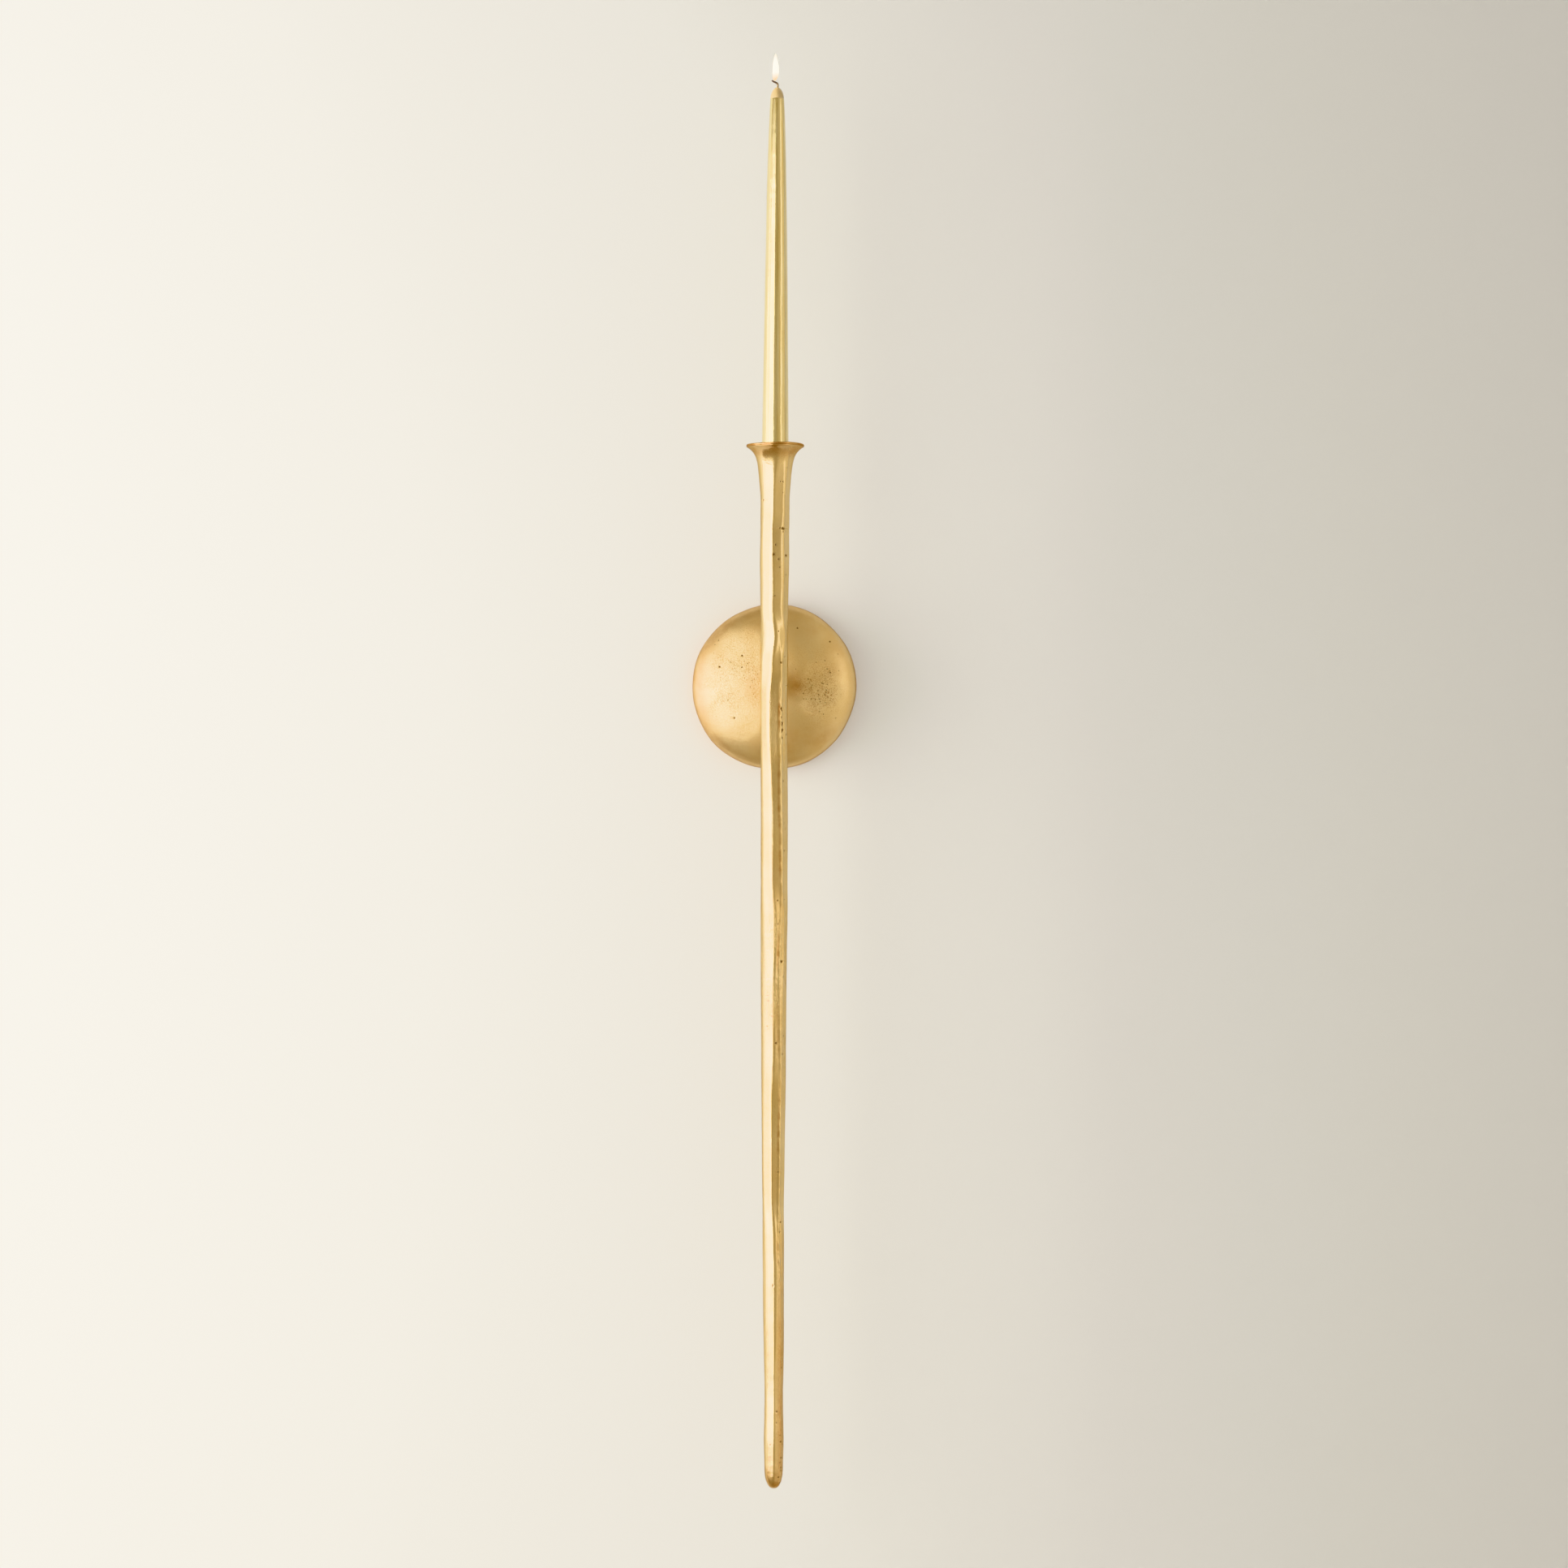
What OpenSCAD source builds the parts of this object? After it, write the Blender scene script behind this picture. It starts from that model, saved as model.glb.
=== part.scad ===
// Wall sconce for one taper candle: a flared cup on a long, slowly tapering cast stem,
// held off a round domed backplate by a short post.
// The hollow dome locks over a steel strap bracket that is screwed to the wall.
// +Z is up, the front faces -Y and the wall is the plane y = 0.
// The origin is the centre of the backplate, on the wall.

/* [Stem] */
// Height of the stem's top face above the backplate's centre
stem_above = 124; // [110:1:160]
// Depth of the stem's tip below the backplate's centre
stem_below = 644; // [500:1:700]
// Distance from the wall to the stem's axis
stem_gap = 85; // [78:1:92]
// Diameter at the stem's top
stem_top_d = 22.8; // [22:0.1:25]
// Diameter at the knee, where the stem starts to narrow
stem_knee_d = 21.2; // [20:0.1:22]
// Diameter just above the rounded tip
stem_tip_d = 14.4; // [10:0.1:16]
// Drop from the backplate's centre to the knee
knee_drop = 180; // [100:1:300]
// Length of the rounded tip
nose_len = 15; // [8:1:20]

/* [Cup] */
// Height of the cup from its joint to its rim
cup_h = 68; // [64:1:80]
// Diameter of the rim
rim_d = 46.8; // [46:0.1:52]
// Thickness of the rim's lip
lip_t = 2.2; // [1.8:0.1:3]
// Depth of the drip dish below the rim
dish_h = 8.5; // [7.5:0.5:10]
// Diameter of the candle socket
socket_d = 22.2; // [21.6:0.1:22.6]
// Depth of the socket's floor below the rim
socket_depth = 22; // [18:1:26]

/* [Backplate] */
// Diameter of the dome
dome_d = 135; // [130:1:150]
// Height of the dome from the wall to its crown
dome_h = 30; // [28:0.5:34]
// Height of the straight skirt round its edge
skirt_h = 9; // [8:0.5:11]
// Thickness of the dome's wall
dome_wall = 3; // [2.5:0.1:3.5]
// Diameter of the post between dome and stem
post_d = 16.5; // [15:0.1:18]

/* [Wall bracket] */
// Distance between the two wall screws
wall_screw_spacing = 70; // [50:1:90]
// Diameter of the wall screw holes
wall_screw_hole_d = 5; // [4:0.1:6]
// Width of the strap
strap_w = 20; // [16:1:24]
// Thickness of the strap
strap_t = 2; // [1.5:0.1:2.5]

/* [Candle] */
// Length of the candle's wax
candle_len = 307.7; // [200:0.1:360]
// Diameter of the candle's butt
candle_d = 21.6; // [21:0.1:21.6]
// Length of wick that stands out of the wax
wick_out = 5.5; // [4:0.1:10]

/* [Hidden] */

cast_brass = [0.80, 0.64, 0.38];
worn_brass = [0.72, 0.55, 0.30];
zinc = [0.72, 0.73, 0.74];
dark_steel = [0.32, 0.32, 0.34];
gold_wax = [0.82, 0.71, 0.44];
wick_cotton = [0.90, 0.86, 0.76];

// A round part's smoothness
fine = 96;
// Gap between a thread's plain stand-in and the hole that it screws into
thread_gap = 0.05;

// Stem: it stands upright at the stem's axis
stem_top_r = stem_top_d / 2;
stem_knee_r = stem_knee_d / 2;
stem_tip_r = stem_tip_d / 2;
nose_steps = 8;
top_edge = 0.6;

// Cup: depths are measured down from the rim
rim_z = stem_above + cup_h;
rim_r = rim_d / 2;
socket_r = socket_d / 2;
neck_r = stem_top_r + 0.1;
swell = 3.4;
swell_h = 42;
flare = 13;
flare_fall = 4.9;
flare_steps = 12;
dish_offset = 2.4;
dish_wall = 0.8;
dish_steps = 6;
stud_d = 8;
stud_len = 32;
stud_depth = 17;

// Post and its fasteners: distances are measured from the wall towards the front
dome_r = dome_d / 2;
crown_r = 9.5;
boss_r = 12;
boss_t = 5;
boss_face = dome_h - boss_t;
post_r = post_d / 2;
stem_back = stem_gap - stem_r(0);
cope_gap = 0.1;
bolt_d = 6;
bolt_hole_d = 6.6;
bolt_len = 60;
bolt_head_af = 10;
bolt_head_h = 4;
flat_washer_d = 12;
spring_washer_d = 10.6;
washer_t = 1.6;
spring_gap = 1.2;
bolt_seat = boss_face - 2 * washer_t;
pin_d = 3;
pin_len = 7;
pin_off = 5.7;
dome_steps = 18;

// Bracket: a strap with a bent tab at each end
dome_in_r = dome_r - dome_wall;
tab_z = dome_in_r - 2.6;
tab_h = 8.5;
lock_y = 4.5;
lock_d = 4;
lock_len = 8;
lock_top = dome_r - 0.4;
lock_point_d = 2.6;
lock_point_len = lock_len - (lock_top - tab_z) + 0.1;
lock_key_af = 2;
strap_corner_r = 3;

// Candle: heights are measured up from the socket's floor
socket_floor = rim_z - socket_depth;
candle_r = candle_d / 2;
butt_len = socket_depth;
neck_taper = 3.7;
shoulder_taper = 1.5;
tip_cone_h = 9;
tip_flat_r = 1.5;
tip_steps = 6;
candle_steps = 14;
wick_d = 1.8;
wick_bore_d = 1.9;
wick_bend_r = 1.9;
wick_bend_angle = 68;

// The stem's radius at a height above the backplate's centre
function stem_r(z) =
    z > -knee_drop
    ? stem_knee_r + (stem_top_r - stem_knee_r) * (z + knee_drop) / (stem_above + knee_drop)
    : stem_tip_r + (stem_knee_r - stem_tip_r) * (z + stem_below - nose_len)
                   / (stem_below - nose_len - knee_drop);

// The cup's outside radius at a depth below its rim
function flare_r(h) = neck_r + swell * max(0, 1 - h / swell_h) + flare * exp(-h / flare_fall);

// The dish's inside radius at a depth below the rim
function dish_r(h) = flare_r(h + dish_offset) - dish_wall;

// One quarter of the dome's curve, from its edge to the crown: [radius, distance from the wall]
function dome_curve(r, depth, skirt, inner_r) = [
    for (i = [0 : dome_steps])
        let (end = acos(inner_r / r), a = end * i / dome_steps)
            [r * cos(a), skirt + (depth - skirt) * sin(a) / sin(end)]
];

// The candle's radius where t runs from 0 at the cup's rim to 1 at the tip's cone
function candle_taper_r(t) = candle_r - neck_taper * t - shoulder_taper * pow(t, 8);

// The tip cone's radius where u runs from 0 at its foot to 1 at its flat top
function candle_tip_r(u) =
    tip_flat_r + (candle_taper_r(1) - tip_flat_r) * pow(1 - u * u, 0.7);

// Turns what is drawn along +Z so that it points from the wall to the front
module to_front() {
    rotate([90, 0, 0])
        children();
}

// Puts what is drawn round the origin on the stem's axis
module on_stem_axis() {
    translate([0, -stem_gap, 0])
        children();
}

// A cylinder along the post's axis between two distances from the wall
module post_axis_rod(r, from, to) {
    to_front()
        translate([0, 0, from])
            cylinder(r = r, h = to - from, $fn = fine);
}

// The two dowels, or with a gap the holes that they fit
module pin_pair(gap = 0) {
    translate([0, 0, pin_off])
        post_axis_rod(pin_d / 2 + gap, dome_h - 3 - gap, dome_h - 3 + pin_len + gap);
    translate([0, 0, -pin_off])
        post_axis_rod(pin_d / 2 + gap, stem_back - 3.5 - gap, stem_back - 3.5 + pin_len + gap);
}

// Long cast rod, widest at the top, with a blunt rounded tip
module stem() {
    nose_z = -stem_below + nose_len;
    color(cast_brass)
        difference() {
            on_stem_axis()
                rotate_extrude($fn = fine)
                    polygon(concat(
                        [[0, stem_above], [stem_top_r - top_edge, stem_above]],
                        [[stem_top_r, stem_above - top_edge], [stem_knee_r, -knee_drop]],
                        [for (i = [0 : nose_steps])
                            let (a = 90 * i / nose_steps)
                                [stem_tip_r * pow(max(0, cos(a)), 0.8), nose_z - nose_len * sin(a)]]
                    ));
            on_stem_axis()
                translate([0, 0, stem_above - stud_depth])
                    cylinder(d = stud_d, h = stud_depth + 1, $fn = fine);
            post_axis_rod(bolt_d / 2, stem_gap - stem_r(0) - 1, stem_back + 9);
            pin_pair(thread_gap);
        }
}

// Flared casting: a neck as wide as the stem, a shallow drip dish and the candle socket
module candle_cup() {
    color(cast_brass)
        on_stem_axis()
            translate([0, 0, rim_z])
                difference() {
                    rotate_extrude($fn = fine)
                        polygon(concat(
                            [[0, -cup_h], [neck_r - top_edge, -cup_h]],
                            [[neck_r, -cup_h + top_edge]],
                            [for (i = [flare_steps : -1 : 0])
                                let (h = lip_t + (swell_h - lip_t) * pow(i / flare_steps, 2))
                                    [min(flare_r(h), rim_r - 0.3), -h]],
                            [[rim_r, -lip_t * 0.6], [rim_r - 0.4, -0.2], [rim_r - 1, 0]],
                            [for (i = [0 : dish_steps])
                                let (h = dish_h * i / dish_steps)
                                    [dish_r(h), -h]],
                            [[socket_r + 0.6, -dish_h], [socket_r, -dish_h - 0.6]],
                            [[socket_r, -socket_depth], [0, -socket_depth]]
                        ));
                    translate([0, 0, -cup_h - 1])
                        cylinder(d = stud_d, h = stud_depth + 1, $fn = fine);
                }
}

// Threaded stud that screws the cup to the stem
module cup_stud() {
    r = stud_d / 2 - thread_gap;
    color(zinc)
        on_stem_axis()
            translate([0, 0, stem_above - stud_len / 2])
                rotate_extrude($fn = fine)
                    polygon([[0, 0], [r - 0.8, 0], [r, 0.8], [r, stud_len - 0.8],
                             [r - 0.8, stud_len], [0, stud_len]]);
}

// Round post from the dome's crown to the stem, with a saddle end that hugs the stem
module standoff_post() {
    color(worn_brass)
        difference() {
            post_axis_rod(post_r, dome_h, stem_gap - stem_r(0) * 0.6);
            post_axis_rod(bolt_hole_d / 2, dome_h - 1, stem_gap);
            on_stem_axis()
                translate([0, 0, -post_d])
                    cylinder(r = stem_r(post_r) + cope_gap, h = 2 * post_d, $fn = fine);
            pin_pair(thread_gap);
        }
}

// Hollow domed casting with a straight skirt, open at the back
module backplate_dome() {
    color(cast_brass)
        difference() {
            to_front()
                rotate_extrude($fn = fine)
                    polygon(concat(
                        [[dome_in_r, 0], [dome_r, 0]],
                        dome_curve(dome_r, dome_h, skirt_h, crown_r),
                        [[0, dome_h], [0, boss_face], [boss_r, boss_face]],
                        [for (i = [dome_steps : -1 : 0])
                            dome_curve(dome_in_r, dome_h - dome_wall, skirt_h, boss_r)[i]]
                    ));
            post_axis_rod(bolt_hole_d / 2, boss_face - 1, dome_h + 1);
            pin_pair(thread_gap);
            for (side = [-1, 1])
                translate([0, -lock_y, side * dome_r])
                    cylinder(d = lock_d, h = 4 * dome_wall, center = true, $fn = fine);
        }
}

// Hex bolt that clamps the dome and the post to the stem
module post_bolt() {
    r = bolt_d / 2 - thread_gap;
    tip = bolt_seat + bolt_len;
    color(zinc) {
        union() {
            to_front()
                translate([0, 0, bolt_seat - bolt_head_h])
                    cylinder(d = bolt_head_af / cos(30), h = bolt_head_h, $fn = 6);
            post_axis_rod(r, bolt_seat - 1, tip - 0.8);
            to_front()
                translate([0, 0, tip - 0.8])
                    cylinder(r1 = r, r2 = r - 0.8, h = 0.8, $fn = fine);
        }
    }
}

// Plain washer on the dome's inside boss
module flat_washer() {
    color(zinc)
        difference() {
            post_axis_rod(flat_washer_d / 2, boss_face - washer_t, boss_face);
            post_axis_rod(bolt_d / 2 + 0.2, boss_face - washer_t - 1, boss_face + 1);
        }
}

// Split lock washer under the bolt's head
module spring_washer() {
    color(dark_steel)
        difference() {
            post_axis_rod(spring_washer_d / 2, bolt_seat, bolt_seat + washer_t);
            post_axis_rod(bolt_d / 2 + 0.1, bolt_seat - 1, bolt_seat + washer_t + 1);
            translate([0, -bolt_seat - washer_t / 2, 0])
                rotate([0, 0, 25])
                    translate([-spring_gap / 2, -washer_t, 0])
                        cube([spring_gap, 2 * washer_t, spring_washer_d]);
        }
}

// Two dowels: one keeps the post from turning on the dome, the other the stem on the post
module locating_pins() {
    color(dark_steel)
        pin_pair();
}

// Steel strap on the wall, with a bent tab at each end that the lock screws hold
module wall_bracket() {
    color(zinc)
        difference() {
            union() {
                translate([-strap_w / 2, -strap_t, -tab_z])
                    cube([strap_w, strap_t, 2 * tab_z]);
                for (side = [0, 1])
                    mirror([0, 0, side])
                        translate([-strap_w / 2, 0, tab_z - strap_t])
                            tab_outline();
            }
            for (side = [-1, 1]) {
                translate([0, 0, side * wall_screw_spacing / 2])
                    post_axis_rod(wall_screw_hole_d / 2, -1, strap_t + 1);
                translate([0, -lock_y, side * tab_z])
                    cylinder(d = lock_point_d + 0.4, h = 4 * strap_t, center = true, $fn = fine);
            }
        }
}

// A tab's outline with its two free corners rounded, as thick as the strap
module tab_outline() {
    linear_extrude(strap_t)
        union() {
            translate([0, strap_corner_r - tab_h])
                square([strap_w, tab_h - strap_corner_r]);
            translate([strap_corner_r, -tab_h])
                square([strap_w - 2 * strap_corner_r, tab_h]);
            for (x = [strap_corner_r, strap_w - strap_corner_r])
                translate([x, strap_corner_r - tab_h])
                    circle(r = strap_corner_r, $fn = 48);
        }
}

// Two grub screws in the dome's skirt, whose points sit in the bracket's tabs
module lock_screws() {
    r = lock_d / 2 - thread_gap;
    point_r = lock_point_d / 2;
    color(dark_steel)
        for (side = [0, 1])
            mirror([0, 0, side])
                translate([0, -lock_y, lock_top])
                    difference() {
                        rotate_extrude($fn = 48)
                            polygon([[0, 0], [r - 0.3, 0], [r, -0.3],
                                     [r, lock_point_len - lock_len],
                                     [point_r, lock_point_len - lock_len],
                                     [point_r, -lock_len], [0, -lock_len]]);
                        translate([0, 0, -2])
                            cylinder(d = lock_key_af / cos(30), h = 3, $fn = 6);
                    }
}

// Taper candle: a straight butt in the socket, a slow taper and a short cone at the top
module candle_wax() {
    body_len = candle_len - butt_len - tip_cone_h;
    color(gold_wax)
        on_stem_axis()
            translate([0, 0, socket_floor])
                difference() {
                    rotate_extrude($fn = fine)
                        polygon(concat(
                            [[0, 0], [candle_r - 0.5, 0], [candle_r, 0.5]],
                            [for (i = [0 : candle_steps])
                                let (t = i / candle_steps)
                                    [candle_taper_r(t), butt_len + body_len * t]],
                            [for (i = [1 : tip_steps])
                                let (u = i / tip_steps)
                                    [candle_tip_r(u), candle_len - tip_cone_h * (1 - u)]],
                            [[0, candle_len]]
                        ));
                    translate([0, 0, -1])
                        cylinder(d = wick_bore_d, h = candle_len + 2, $fn = 48);
                }
}

// Cotton wick through the whole candle, with its burnt end curled over
module candle_wick() {
    straight_top = candle_len + wick_out - 2.9;
    color(wick_cotton)
        on_stem_axis()
            translate([0, 0, socket_floor]) {
                cylinder(d = wick_d, h = straight_top, $fn = 48);
                translate([-wick_bend_r, 0, straight_top])
                    rotate([90, 0, 0])
                        rotate_extrude(angle = wick_bend_angle, $fn = 48)
                            translate([wick_bend_r, 0])
                                circle(d = wick_d, $fn = 48);
                translate([-wick_bend_r, 0, straight_top])
                    rotate([0, -wick_bend_angle, 0])
                        translate([wick_bend_r, 0, 0])
                            cylinder(d1 = wick_d, d2 = 0.6 * wick_d, h = wick_out - 2.6, $fn = 48);
            }
}

stem();
candle_cup();
cup_stud();
standoff_post();
backplate_dome();
post_bolt();
flat_washer();
spring_washer();
locating_pins();
wall_bracket();
lock_screws();
candle_wax();
candle_wick();
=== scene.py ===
"""Wall sconce for a taper candle: cast brass stem, cup, post and domed backplate, gold candle, flame."""

import math

import bpy
import numpy as np
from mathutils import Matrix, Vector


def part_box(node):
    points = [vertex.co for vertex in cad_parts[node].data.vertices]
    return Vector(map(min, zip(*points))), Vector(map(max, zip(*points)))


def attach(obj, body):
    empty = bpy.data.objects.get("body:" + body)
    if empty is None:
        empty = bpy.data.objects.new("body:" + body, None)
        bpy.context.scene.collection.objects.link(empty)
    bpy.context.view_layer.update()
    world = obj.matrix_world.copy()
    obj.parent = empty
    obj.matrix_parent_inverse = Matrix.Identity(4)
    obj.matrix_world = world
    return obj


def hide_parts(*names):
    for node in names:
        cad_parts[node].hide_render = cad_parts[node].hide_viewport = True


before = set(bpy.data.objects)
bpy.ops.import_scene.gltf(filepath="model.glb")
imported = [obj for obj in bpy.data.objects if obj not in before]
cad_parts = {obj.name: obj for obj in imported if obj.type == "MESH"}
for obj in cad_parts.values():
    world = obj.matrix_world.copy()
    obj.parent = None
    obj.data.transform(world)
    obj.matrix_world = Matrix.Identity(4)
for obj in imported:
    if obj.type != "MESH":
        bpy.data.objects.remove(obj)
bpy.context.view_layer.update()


# ---------------------------------------------------------------- sizes, from the frame

def box_of(node):
    """A CAD node's lowest and highest corners as arrays."""
    low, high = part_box(node)
    return np.array(low), np.array(high)


stem_low, stem_high = box_of("stem")
cup_low, cup_high = box_of("candle_cup")
dome_low, dome_high = box_of("backplate_dome")
post_low, post_high = box_of("standoff_post")
wax_low, wax_high = box_of("candle_wax")
stud_low, stud_high = box_of("cup_stud")

STEM_Y = (stem_low[1] + stem_high[1]) / 2
STEM_TOP, STEM_TIP = stem_high[2], stem_low[2]
RIM_Z, RIM_R = cup_high[2], (cup_high[0] - cup_low[0]) / 2
DOME_R, DOME_H = (dome_high[2] - dome_low[2]) / 2, -dome_low[1]
POST_R = (post_high[0] - post_low[0]) / 2
WAX_R = (wax_high[0] - wax_low[0]) / 2
WAX_FOOT, WAX_TOP = wax_low[2], wax_high[2]
WICK_TOP = box_of("candle_wick")[1][2]
# The stud's holes are a hair wider than the stud
BORE_R = (stud_high[0] - stud_low[0]) / 2 + 0.00005


# ---------------------------------------------------------------- smooth noise

def hashed(cells, seed):
    """A repeatable value from -1 to 1 for each whole-numbered cell. The large numbers only mix its bits."""
    mix = cells[..., 0] * 73856093 ^ cells[..., 1] * 19349663 ^ cells[..., 2] * 83492791
    mix = (mix ^ seed * 668265263) & 0xFFFFFFFF
    mix = (mix ^ mix >> 15) * 739982445 & 0xFFFFFFFF
    mix = (mix ^ mix >> 12) * 695872825 & 0xFFFFFFFF
    mix = mix ^ mix >> 15
    return (mix & 0xFFFF) / 32767.5 - 1


def lumps(points, size, seed):
    """Smooth noise from -1 to 1, with lumps about size across."""
    scaled = points / size
    cell = np.floor(scaled).astype(np.int64)
    part = scaled - cell
    part = part * part * (3 - 2 * part)
    total = np.zeros(points.shape[:-1])
    for corner in range(8):
        step = np.array([corner & 1, corner >> 1 & 1, corner >> 2 & 1])
        share = np.prod(np.where(step, part, 1 - part), axis=-1)
        total += share * hashed(cell + step, seed)
    return total


def wave(height, seed, length):
    """A slow line of noise from about -1 to 1 along the stem."""
    rng = np.random.default_rng(seed)
    total = 0
    for octave, weight in enumerate((0.6, 0.3, 0.15)):
        turn = 2 * math.pi * height / (length / 1.9 ** octave)
        total = total + weight * np.sin(turn + rng.uniform(0, 2 * math.pi))
    return total


def path(height, points):
    """Smooth line through (height, value) points, which run upwards."""
    heights, values = np.array(sorted(points)).T
    at = np.clip(height, heights[0], heights[-1])
    k = np.clip(np.searchsorted(heights, at, side="right") - 1, 0, len(heights) - 2)
    t = (at - heights[k]) / (heights[k + 1] - heights[k])
    t = t * t * (3 - 2 * t)
    return values[k] * (1 - t) + values[k + 1] * t


# ---------------------------------------------------------------- meshes

def skin(name, rings, attributes, loop=False):
    """A closed smooth mesh through closed rings of points. Each attribute holds one number per point.
    A loop joins its last ring to its first, and its rings run clockwise seen from the front. Anything
    else runs anticlockwise seen from above and gets a fan over each end."""
    rings = np.asarray(rings, float)
    count, around = rings.shape[:2]
    row, col = np.meshgrid(np.arange(count if loop else count - 1), np.arange(around), indexing="ij")
    up, side = (row + 1) % count, (col + 1) % around
    faces = np.stack([row * around + col, row * around + side, up * around + side, up * around + col], -1)
    faces = faces.reshape(-1, 4)
    faces = (faces[:, ::-1] if loop else faces).tolist()
    points = rings.reshape(-1, 3)
    if not loop:
        points = np.concatenate([points, [rings[0].mean(0), rings[-1].mean(0)]])
        first, last, top = count * around, count * around + 1, (count - 1) * around
        for k in range(around):
            after = (k + 1) % around
            faces += [(first, after, k), (last, top + k, top + after)]
    mesh = bpy.data.meshes.new(name)
    mesh.from_pydata(points.tolist(), [], faces)
    mesh.shade_smooth()
    for key, values in attributes.items():
        values = np.asarray(values, float)
        flat = values.ravel()
        if not loop:
            flat = np.concatenate([flat, [values[0].mean(), values[-1].mean()]])
        layer = mesh.attributes.new(key, "FLOAT", "POINT")
        layer.data.foreach_set("value", flat.astype(np.float32))
    obj = bpy.data.objects.new(name, mesh)
    bpy.context.scene.collection.objects.link(obj)
    return obj


def circle_angles(count, crowd=0.0):
    """Angles round a piece, from its front towards +X: crowd packs them closer at the front."""
    turn = np.arange(count) * 2 * math.pi / count
    return turn - crowd * np.sin(turn)


def turned(angle, heading):
    """The angle from a heading, between half a turn to the left and half a turn to the right."""
    return (angle - heading + math.pi) % (2 * math.pi) - math.pi


def upright(radius, angle, height, centre_x, centre_y=STEM_Y):
    """Points at a radius and an angle round an upright axis."""
    return np.stack([centre_x + radius * np.sin(angle),
                     centre_y - radius * np.cos(angle),
                     np.broadcast_to(height, radius.shape)], -1)


def crater(distance, size):
    """1 at a pit's centre, falling to a faint raised lip and then 0."""
    u = distance / size
    return np.exp(-u * u * 1.6) - 0.05 * np.exp(-(u - 1.5) ** 2 * 5)


# ---------------------------------------------------------------- the stem's shape

# The stem's sideways lean: (height, distance to the right)
LEAN = [(-0.644, -0.0003), (-0.54, -0.0002), (-0.41, -0.0007), (-0.26, -0.0003), (-0.125, 0.0003),
        (-0.03, 0.0), (0.073, 0.0003), (0.16, 0.0008), (0.192, 0.001)]
# Slow swells of the stem's radius: (height, amount, half height)
SWELLS = [(-0.424, -0.0004, 0.024), (-0.567, -0.0005, 0.02), (-0.606, 0.0004, 0.014),
          (0.099, 0.0004, 0.016), (-0.31, 0.0001, 0.03), (0.045, -0.0003, 0.02)]
# The edge between the two front flats: (height, degrees to the right of the front)
FRONT_EDGE = [(-0.644, 0), (-0.60, 6), (-0.56, 4), (-0.52, 12), (-0.475, 20), (-0.445, 12),
              (-0.41, -8), (-0.33, -11), (-0.29, 4), (-0.25, 4), (-0.22, 10), (-0.19, 6),
              (-0.155, -10), (-0.115, -9), (-0.08, -13), (-0.04, -21), (-0.01, -18), (0.015, -8),
              (0.038, 12), (0.062, -13), (0.08, -9), (0.12, -10), (0.14, -3), (0.19, 4)]
# Flats along the stem: (degrees from the front edge, depth as a share of the radius)
FLATS = [(-27, 0.040), (20, 0.044), (62, 0.024), (108, 0.03), (152, 0.03), (-165, 0.03),
         (-120, 0.03), (-75, 0.016)]
FLAT_SHARPNESS = 110
FLAT_WANDER = math.radians(4)
# A raised seam down the right of the front: (height, degrees from the front)
SEAM = [(-0.50, 40), (-0.42, 30), (-0.33, 38), (-0.24, 28), (-0.15, 36), (-0.08, 30), (0.0, 33),
        (0.045, 26)]
# How much of the seam shows: (height, share)
SEAM_SHOWN = [(-0.52, 0), (-0.46, 1), (0.0, 1), (0.06, 0)]
SEAM_HEIGHT, SEAM_WIDTH = 0.00032, math.radians(6)
# Painted shade: how much browner the lower stem's right side is painted: (height, share)
LOWER_RIGHT_SHADE = [(-0.644, 0.8), (-0.61, 0.6), (-0.52, 0.5), (-0.46, 0.25), (-0.42, 0.0)]
# How coarse the stem's skin is: (height, share)
STEM_COARSE = [(-0.644, 0.45), (-0.632, 0.3), (-0.612, 0.08), (-0.42, 0.08), (-0.36, 0.25), (-0.30, 0.5),
               (-0.21, 0.5), (-0.16, 0.2), (-0.10, 0.2), (-0.03, 0.2), (0.02, 0.1), (0.12, 0.05)]
# Casting pits that stand out: (height, degrees from the front, size, depth)
PITS = [(0.1240, 33, 0.0013, 0.0005), (0.1236, 40, 0.0012, 0.0004), (0.1243, 22, 0.0008, 0.0003),
        (0.1215, 36, 0.0008, 0.0004), (0.1110, 4, 0.0010, 0.0004), (0.1033, -2, 0.0011, 0.0004),
        (0.1027, 52, 0.0013, 0.0005), (0.0994, 16, 0.0011, 0.0005), (-0.0195, 32, 0.0012, 0.0006),
        (-0.0212, 35, 0.0008, 0.0005), (-0.0268, 33, 0.0008, 0.0004), (-0.0312, 37, 0.0012, 0.0006),
        (-0.0328, 36, 0.0009, 0.0005), (-0.0371, 38, 0.0012, 0.0005), (-0.0385, 35, 0.0008, 0.0004),
        (-0.0432, 38, 0.0009, 0.0004), (-0.222, 38, 0.0011, 0.0005), (-0.287, 10, 0.0010, 0.0005),
        (0.1468, -55, 0.0010, 0.0005), (-0.173, 14, 0.0008, 0.0003)]
# Scratches: (height and degrees from the front where it starts, the same where it ends)
STEM_SCRATCHES = [(-0.236, 8, -0.239, 24), (-0.304, 30, -0.3055, 48), (0.082, -20, 0.0845, -12),
                  (-0.372, -18, -0.3745, -6), (-0.452, 14, -0.4535, 30), (0.031, 28, 0.0295, 45)]
# Lengths at the tip: the rounded end, the crinkled skin and the brown skin
NOSE, TIP_CRINKLED, TIP_BROWN = 0.015, 0.028, 0.030
# Narrow step that keeps the edges at the joint between stem and cup sharp
JOINT_EDGE = 0.00004
# Chamfer round the stem's top, where the joint's groove shows
TOP_BEVEL = 0.0004
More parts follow.
